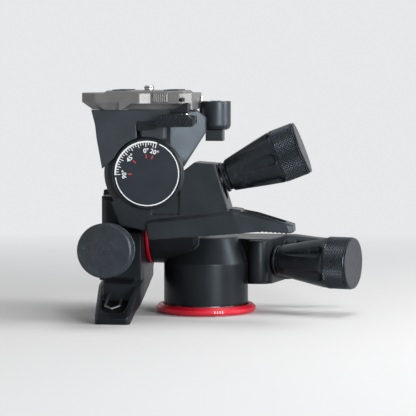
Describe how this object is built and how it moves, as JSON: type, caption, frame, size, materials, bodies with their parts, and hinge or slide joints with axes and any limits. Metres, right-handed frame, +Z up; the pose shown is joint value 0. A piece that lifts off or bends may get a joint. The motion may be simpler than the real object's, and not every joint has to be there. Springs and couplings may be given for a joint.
{
  "type": "geared tripod head",
  "caption": "Three-way geared tripod head: three worm-gear units with tapered knobs and finger paddles carry a quick-release camera plate.",
  "frame": {"origin": "centre of the tripod socket on the base's bottom face", "axes": "+Z up along the pan axis, -Y towards the user who faces the side dial, +X towards the pan knob"},
  "size_m": [0.1623, 0.1296, 0.1371],
  "materials": {
    "black_casting": "satin black, fibre-reinforced, lightly worn at the edges",
    "black_plastic": "matte black",
    "dial_face": "matte black disc with a white scale",
    "red_ring": "satin red",
    "grey_metal": "satin grey",
    "pad_rubber": "matte black rubber",
    "steel": "turned steel",
    "base_metal": "turned aluminium",
    "vial": "clear, green fluid",
    "bronze": "machined bronze",
    "grip_rubber": "worn black rubber",
    "knurled_metal": "knurled, black anodised"
  },
  "bodies": {
    "base": {"base_plate": "base_metal", "tripod_socket_bush": "steel", "pan_scale_ring": "red_ring", "pan_spindle": "steel", "pan_worm_wheel": "bronze", "base_screws": "steel"},
    "pan_body": {"pan_housing": "black_casting", "pan_bush": "bronze", "tilt_red_ring": "red_ring", "tilt_axle": "steel", "tilt_worm_wheel": "bronze", "pan_pivot_pin": "steel"},
    "arm": {"tilt_housing": "black_casting", "tilt_cover": "black_plastic", "tilt_cover_screws": "steel", "tilt_bush": "bronze", "tilt_pivot_pin": "steel", "tilt_wire_clip": "steel", "side_housing": "black_casting", "side_bush": "bronze", "side_dial": "dial_face", "side_pivot_pin": "steel"},
    "platform": {"platform_neck": "black_casting", "plate_seat": "grey_metal", "side_axle": "steel", "side_worm_wheel": "bronze", "level_cup": "black_plastic", "level_vial": "vial", "lever_pin": "steel", "index_pointer": "black_plastic", "seat_grip": "black_plastic"},
    "clamp_lever": {"clamp_lever": "black_plastic"},
    "safety_catch": {"safety_catch": "black_plastic"},
    "camera_plate": {"quick_plate": "grey_metal", "plate_pads": "pad_rubber"},
    "camera_screw": {"camera_screw": "steel"},
    "pan_carrier": {"pan_worm_carrier": "black_casting", "pan_worm_bushes": "bronze", "pan_release_spring": "steel"},
    "pan_knob": {"pan_worm_shaft": "steel", "pan_knob_collars": "black_plastic", "pan_knob_grip": "grip_rubber", "pan_knob_ring": "knurled_metal", "pan_knob_cap": "black_plastic"},
    "tilt_carrier": {"tilt_worm_carrier": "black_casting", "tilt_worm_bushes": "bronze", "tilt_release_spring": "steel"},
    "tilt_knob": {"tilt_worm_shaft": "steel", "tilt_knob_collars": "black_plastic", "tilt_knob_grip": "grip_rubber", "tilt_knob_ring": "knurled_metal", "tilt_knob_cap": "black_plastic"},
    "side_carrier": {"side_worm_carrier": "black_casting", "side_worm_bushes": "bronze", "side_release_spring": "steel"},
    "side_knob": {"side_worm_shaft": "steel", "side_knob_collars": "black_plastic", "side_knob_grip": "grip_rubber", "side_knob_ring": "knurled_metal", "side_knob_cap": "black_plastic"}
  },
  "joints": [
    {"name": "pan", "type": "hinge", "parent": "base", "child": "pan_body", "pos_m": [0, 0, 0], "axis": [0, 0, 1], "continuous": true},
    {"name": "front_tilt", "type": "hinge", "parent": "pan_body", "child": "arm", "pos_m": [0, 0, 0.0575], "axis": [1, 0, 0], "range_deg": [-90, 20]},
    {"name": "side_tilt", "type": "hinge", "parent": "arm", "child": "platform", "pos_m": [-0.0272, -0.043, 0.0862], "axis": [0, 1, 0], "range_deg": [-90, 20]},
    {"name": "pan_release", "type": "hinge", "parent": "pan_body", "child": "pan_carrier", "pos_m": [-0.01243, 0.02262, 0.031], "axis": [0, 0, 1], "range_deg": [0, 5], "stiffness_Nm_per_rad": 2, "springref_deg": -3.44},
    {"name": "pan_knob_spin", "type": "hinge", "parent": "pan_carrier", "child": "pan_knob", "pos_m": [0.00526, 0.01721, 0.031], "axis": [0.9563, -0.2924, 0], "continuous": true},
    {"name": "tilt_release", "type": "hinge", "parent": "arm", "child": "tilt_carrier", "pos_m": [-0.0472, 0.01753, 0.03856], "axis": [1, 0, 0], "range_deg": [0, 5], "stiffness_Nm_per_rad": 2, "springref_deg": -3.44},
    {"name": "tilt_knob_spin", "type": "hinge", "parent": "tilt_carrier", "child": "tilt_knob", "pos_m": [-0.0472, -0.00094, 0.03952], "axis": [0, -0.9986, 0.0523], "range_deg": [-3240, 3240]},
    {"name": "side_release", "type": "hinge", "parent": "arm", "child": "side_carrier", "pos_m": [-0.03794, -0.043, 0.06273], "axis": [0, 1, 0], "range_deg": [0, 5], "stiffness_Nm_per_rad": 2, "springref_deg": -3.44},
    {"name": "side_knob_spin", "type": "hinge", "parent": "side_carrier", "child": "side_knob", "pos_m": [-0.02069, -0.043, 0.06942], "axis": [0.9323, 0, 0.3616], "range_deg": [-3240, 3240]},
    {"name": "lever_swing", "type": "hinge", "parent": "platform", "child": "clamp_lever", "pos_m": [-0.0056, -0.05, 0.118], "axis": [0, 0, 1], "range_deg": [0, 45]},
    {"name": "catch_slide", "type": "slide", "parent": "platform", "child": "safety_catch", "axis": [1, 0, 0], "range_m": [0, 0.003]},
    {"name": "plate_lift", "type": "slide", "parent": "platform", "child": "camera_plate", "axis": [0, 0, 1], "range_m": [0, 0.03]},
    {"name": "camera_screw_spin", "type": "hinge", "parent": "camera_plate", "child": "camera_screw", "pos_m": [-0.0296, -0.032, 0.128], "axis": [0, 0, 1], "continuous": true}
  ],
  "couplings": [
    {"joint": "pan_knob_spin", "follows": "pan", "ratio": -36},
    {"joint": "tilt_knob_spin", "follows": "front_tilt", "ratio": -36},
    {"joint": "side_knob_spin", "follows": "side_tilt", "ratio": 36}
  ]
}
